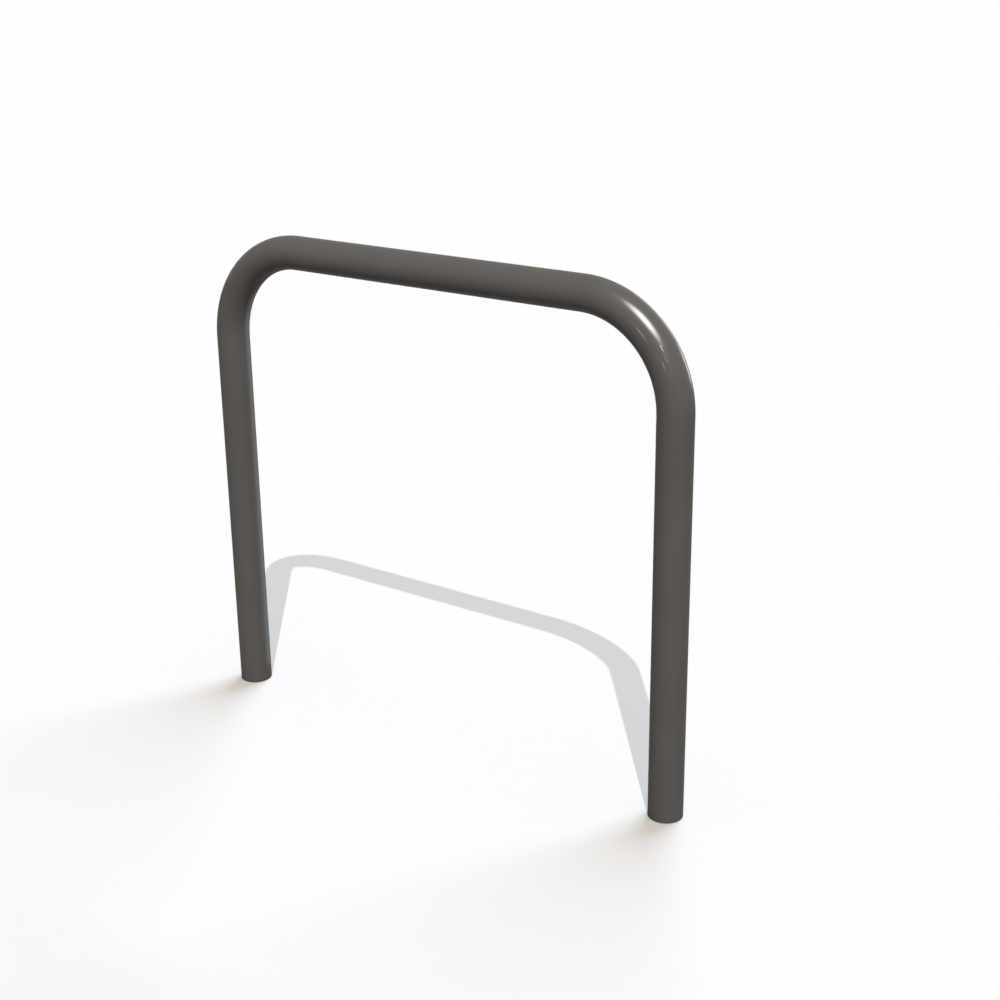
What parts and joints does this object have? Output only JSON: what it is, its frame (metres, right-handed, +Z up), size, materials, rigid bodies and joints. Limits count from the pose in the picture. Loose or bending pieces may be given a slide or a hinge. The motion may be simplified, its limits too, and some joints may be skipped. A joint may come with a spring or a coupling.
{
  "type": "barrier hoop",
  "caption": "Plain barrier hoop of round steel tube with straight legs, rounded corners and a level top rail, coated dark grey, to guard a kerb or path or to lock a cycle to.",
  "frame": {"origin": "on the ground, midway between the legs", "axes": "+X along the top rail from the left leg to the right leg, +Y through the hoop from its front to its back, +Z up"},
  "size_m": [1, 0.06, 0.9],
  "materials": {
    "grey_coating": "smooth semi-gloss dark warm grey powder coat",
    "zinc_coated_steel": "dull hot-dip zinc"
  },
  "bodies": {
    "root": {"top_rail": "grey_coating", "left_leg": "grey_coating", "right_leg": "grey_coating", "left_bend": "grey_coating", "right_bend": "grey_coating", "left_leg_weld": "grey_coating", "right_leg_weld": "grey_coating", "left_rail_weld": "grey_coating", "right_rail_weld": "grey_coating", "left_leg_sleeve": "zinc_coated_steel", "right_leg_sleeve": "zinc_coated_steel", "left_rail_sleeve": "zinc_coated_steel", "right_rail_sleeve": "zinc_coated_steel", "left_foot_plug": "zinc_coated_steel", "right_foot_plug": "zinc_coated_steel", "left_foot_weld": "zinc_coated_steel", "right_foot_weld": "zinc_coated_steel", "left_anchor_nut": "zinc_coated_steel", "right_anchor_nut": "zinc_coated_steel"}
  },
  "joints": []
}
